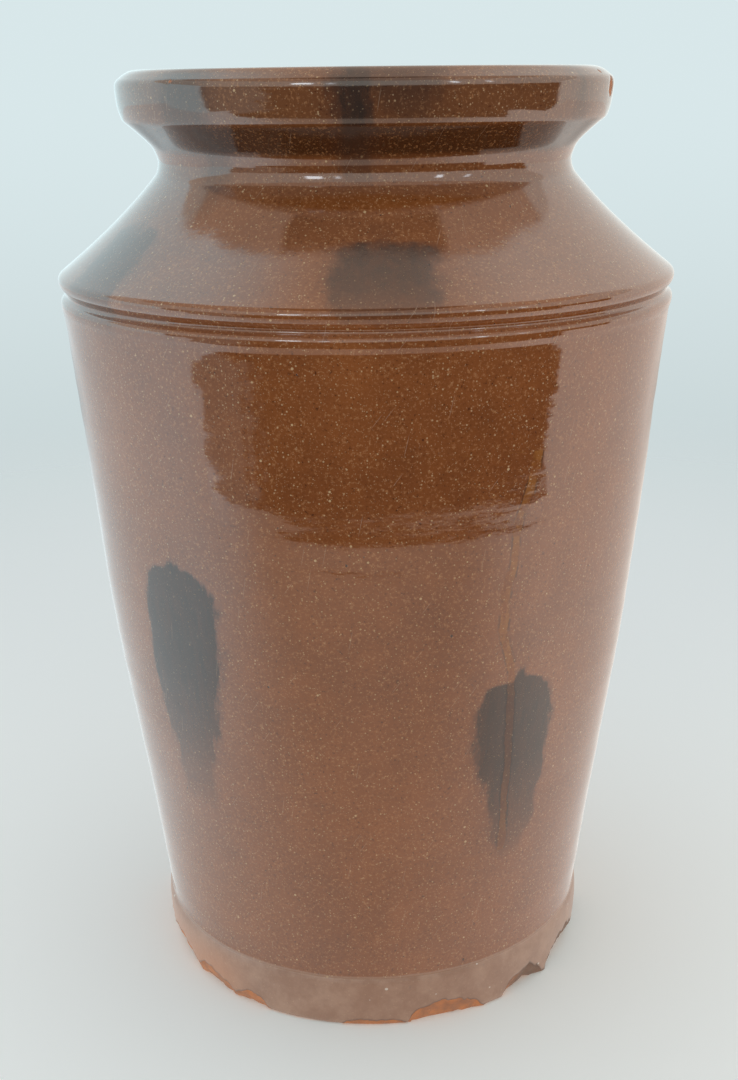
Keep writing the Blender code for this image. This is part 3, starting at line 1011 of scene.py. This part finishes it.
def cloth_cover(graph, way, up):
    """Where cloth covers what the glaze mirrors: at the sides and behind, its edge folded.
    `up` is 0 level and 1 overhead, where the edge comes further round to the front."""
    x, y, _ = graph.axes(way)
    lean = graph.math("ABSOLUTE", x)
    high_limit = graph.add(-0.022, graph.times(lean, lean),
                           graph.times(graph.step(lean, 0.55, 0.66), 0.15))
    low_limit = graph.add(0.12, graph.times(graph.step(x, -0.3, -0.7), -0.36))
    limit = graph.add(graph.times(high_limit, up),
                      graph.times(low_limit, graph.less(1.0, up)))
    folds = graph.less(graph.noise(way, 0.16, 3.0, 0.6), 0.5)
    uneven = graph.add(0.02, graph.times(graph.less(1.0, up), 0.05))
    behind = graph.add(graph.less(y, limit), graph.times(folds, uneven))
    return graph.step(behind, -0.012, 0.022)


def cloth_tint(graph, way, up):
    """Cloth colour: cool at the left, warm at the right and browner straight overhead."""
    x, _, _ = graph.axes(way)
    colour = graph.mix(graph.step(x, -0.6, 0.8), (1.0, 1.3, 1.38), (1.12, 1.1, 1.02))
    centre = graph.times(graph.step(graph.math("ABSOLUTE", x), 0.55, 0.12), up)
    return graph.paint(colour, (0.7, 0.52, 0.41), centre, 0.9)


def dark_room(graph, way, turn, rise):
    """A dark room with haze at the left, a bright band, a brown ceiling and small windows."""
    folds = graph.less(graph.noise(way, 0.16, 3.0, 0.6), 0.5)
    teeth = graph.less(graph.noise(graph.stretch(way, 1.0, 1.0, 2.4), 0.075, 3.0, 0.6), 0.5)
    haze = graph.times(graph.between(graph.add(turn, graph.times(teeth, 44.0)), -80.0, -44.0, 1.2),
                       graph.between(graph.add(rise, graph.times(teeth, 9.0)), -26.0, 3.0, 0.8))
    light = graph.mix(graph.step(rise, 0.0, 30.0), (0.06, 0.056, 0.052), (0.115, 0.11, 0.1))
    light = graph.paint(light, (0.9, 0.95, 0.9), haze, 0.3)
    folded_rise = graph.add(rise, graph.times(folds, 10.0))
    ceiling = graph.between(folded_rise, 41.0, 70.0, 1.5)
    light = graph.mix(ceiling, light, (0.62, 0.5, 0.42))
    band = graph.between(folded_rise, 4.0, 41.0, 1.5)
    light = graph.mix(band, light, (0.8, 0.8, 0.74))
    for middle, half_width, level in WINDOWS:
        pane = graph.times(graph.between(turn, middle - half_width, middle + half_width, 0.6),
                           graph.between(rise, 15.0, 25.0, 0.8))
        light = graph.mix(pane, light, (level * 0.92, level, level * 1.06))
    return light


def studio_surroundings(graph, way):
    """What the glaze mirrors: bright cloth at the sides and back, a dark room in front with a
    bright band and windows above the horizon, and a dim ceiling."""
    turn, height = around(graph, way)
    rise = graph.math("DEGREES", graph.math("ARCSINE", height))
    up = graph.step(rise, 6.0, 38.0)
    return graph.mix(cloth_cover(graph, way, up), dark_room(graph, way, turn, rise),
                     cloth_tint(graph, way, up))


def soft_sky(graph, way):
    """Light for matt surfaces: even, a little brighter above and behind."""
    x, y, z = graph.axes(way)
    above = graph.add(0.6, graph.times(graph.step(z, 0.0, 0.9), 0.22),
                      graph.times(graph.step(y, -0.8, 0.8), 0.18))
    tint = graph.mix(graph.step(x, -0.8, 0.8), (0.92, 0.98, 1.03), (1.02, 0.98, 0.94))
    scaled = graph.node("ShaderNodeVectorMath", {0: tint, 3: above}, operation="SCALE")
    return scaled.outputs[0]


def make_world():
    world = bpy.data.worlds.new("soft_studio")
    world.use_nodes = True
    graph = Graph(world.node_tree)
    way = graph.node("ShaderNodeTexCoord").outputs["Generated"]
    ray = graph.node("ShaderNodeLightPath")
    sky = graph.mix(ray.outputs["Is Glossy Ray"], soft_sky(graph, way),
                    studio_surroundings(graph, way))
    high = graph.step(graph.axes(way)[2], -0.32, 0.0)
    wall = graph.mix(high, (0.58, 0.66, 0.67), (0.69, 0.8, 0.82))
    sky = graph.mix(ray.outputs["Is Camera Ray"], sky, wall)
    background = graph.node("ShaderNodeBackground", {"Color": sky})
    graph.node("ShaderNodeOutputWorld", {0: background.outputs[0]})
    bpy.context.scene.world = world


def make_camera():
    """Eye level with the rim, looking down, turned a little so the crock leans as seen."""
    data = bpy.data.cameras.new("camera")
    data.lens = CAMERA_LENS
    data.sensor_width = 36.0
    camera = add_object("camera", data)
    camera.location = (0.0, -CAMERA_FAR, CAMERA_Z)
    camera.rotation_mode = "QUATERNION"
    tilt = Quaternion((1.0, 0.0, 0.0), math.radians(90.0 - LOOK_DOWN))
    roll = Quaternion((0.0, 0.0, 1.0), math.radians(CAMERA_ROLL))
    camera.rotation_quaternion = tilt @ roll
    bpy.context.scene.camera = camera


def main():
    make_camera()
    make_world()
    make_floor()
    make_cloth()
    # No film curve, so a pale cloth stays as pale as it is lit.
    bpy.context.scene.view_settings.view_transform = "Standard"
    make_crock()
    clay = bare_clay("weight_clay", *WEIGHT_CLAY, 0.0001, 0.48, 0.66)
    make_weight("weight_left", clay)
    make_weight("weight_right", clay)


main()
